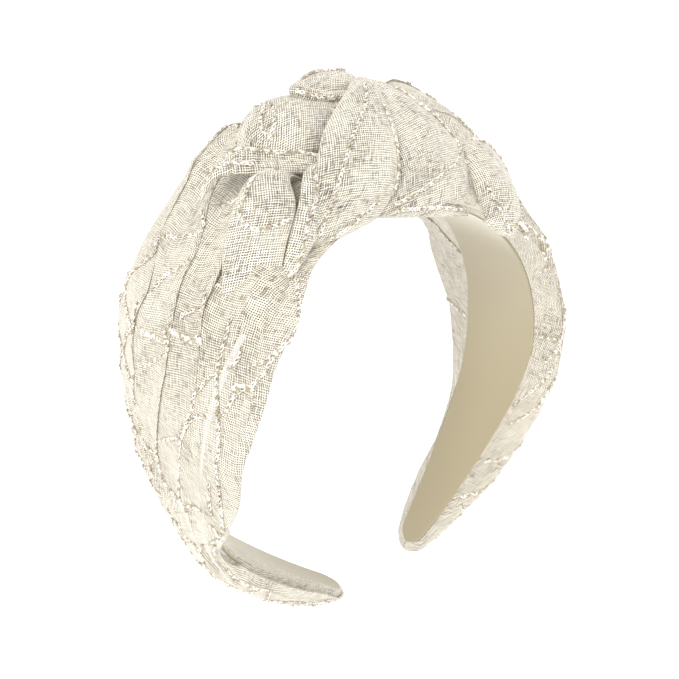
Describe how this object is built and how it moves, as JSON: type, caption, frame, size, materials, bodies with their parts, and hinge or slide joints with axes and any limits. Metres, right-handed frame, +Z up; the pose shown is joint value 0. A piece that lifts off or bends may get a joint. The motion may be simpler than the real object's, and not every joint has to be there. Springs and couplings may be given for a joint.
{
  "type": "knotted headband",
  "caption": "Springy C-shaped headband with a satin-lined core, wrapped in sheer embroidered cloth tied in a soft knot at the crown.",
  "frame": {"origin": "centre of the round inner arch, where the middle of the head sits, midway between the band's front and back edges", "axes": "+X towards the right leg, +Y towards the back edge of the band (the knot's loop tucks under at the front, -Y), +Z up to the crown; the arch turns about Y"},
  "size_m": [0.1446, 0.0604, 0.1816],
  "materials": {
    "core_plastic": "matte",
    "satin_lining": "satin",
    "adhesive_film": "satin",
    "base_cloth": "matte",
    "sheer_cloth": "matte",
    "embroidery_thread": "satin",
    "tacking_thread": "matte"
  },
  "bodies": {
    "crown": {"core_crown": "core_plastic", "lining_crown": "satin_lining", "film_crown": "adhesive_film", "base_cloth_crown": "base_cloth", "gather_left": "sheer_cloth", "gather_right": "sheer_cloth", "knot_heart": "sheer_cloth", "knot_front_loop": "sheer_cloth", "knot_right_loop": "sheer_cloth", "knot_left_loop": "sheer_cloth", "knot_top_roll": "sheer_cloth", "knot_flat_fold": "sheer_cloth", "knot_right_bulb": "sheer_cloth", "stitching_knot": "embroidery_thread", "tacking_thread": "tacking_thread"},
    "left_leg": {"core_left_leg": "core_plastic", "lining_left_leg": "satin_lining", "film_left_leg": "adhesive_film", "base_cloth_left_leg": "base_cloth", "sleeve_left_leg": "sheer_cloth", "stitching_left": "embroidery_thread", "tip_fold_left": "sheer_cloth"},
    "right_leg": {"core_right_leg": "core_plastic", "lining_right_leg": "satin_lining", "film_right_leg": "adhesive_film", "base_cloth_right_leg": "base_cloth", "sleeve_right_leg": "sheer_cloth", "stitching_right": "embroidery_thread", "tip_fold_right": "sheer_cloth"}
  },
  "joints": [
    {"name": "left_leg_flex", "type": "hinge", "parent": "crown", "child": "left_leg", "pos_m": [-0.05217, 0, 0.04076], "axis": [0, 1, 0], "range_deg": [-4, 16], "stiffness_Nm_per_rad": 0.8},
    {"name": "right_leg_flex", "type": "hinge", "parent": "crown", "child": "right_leg", "pos_m": [0.05217, 0, 0.04076], "axis": [0, -1, 0], "range_deg": [-4, 16], "stiffness_Nm_per_rad": 0.8}
  ]
}
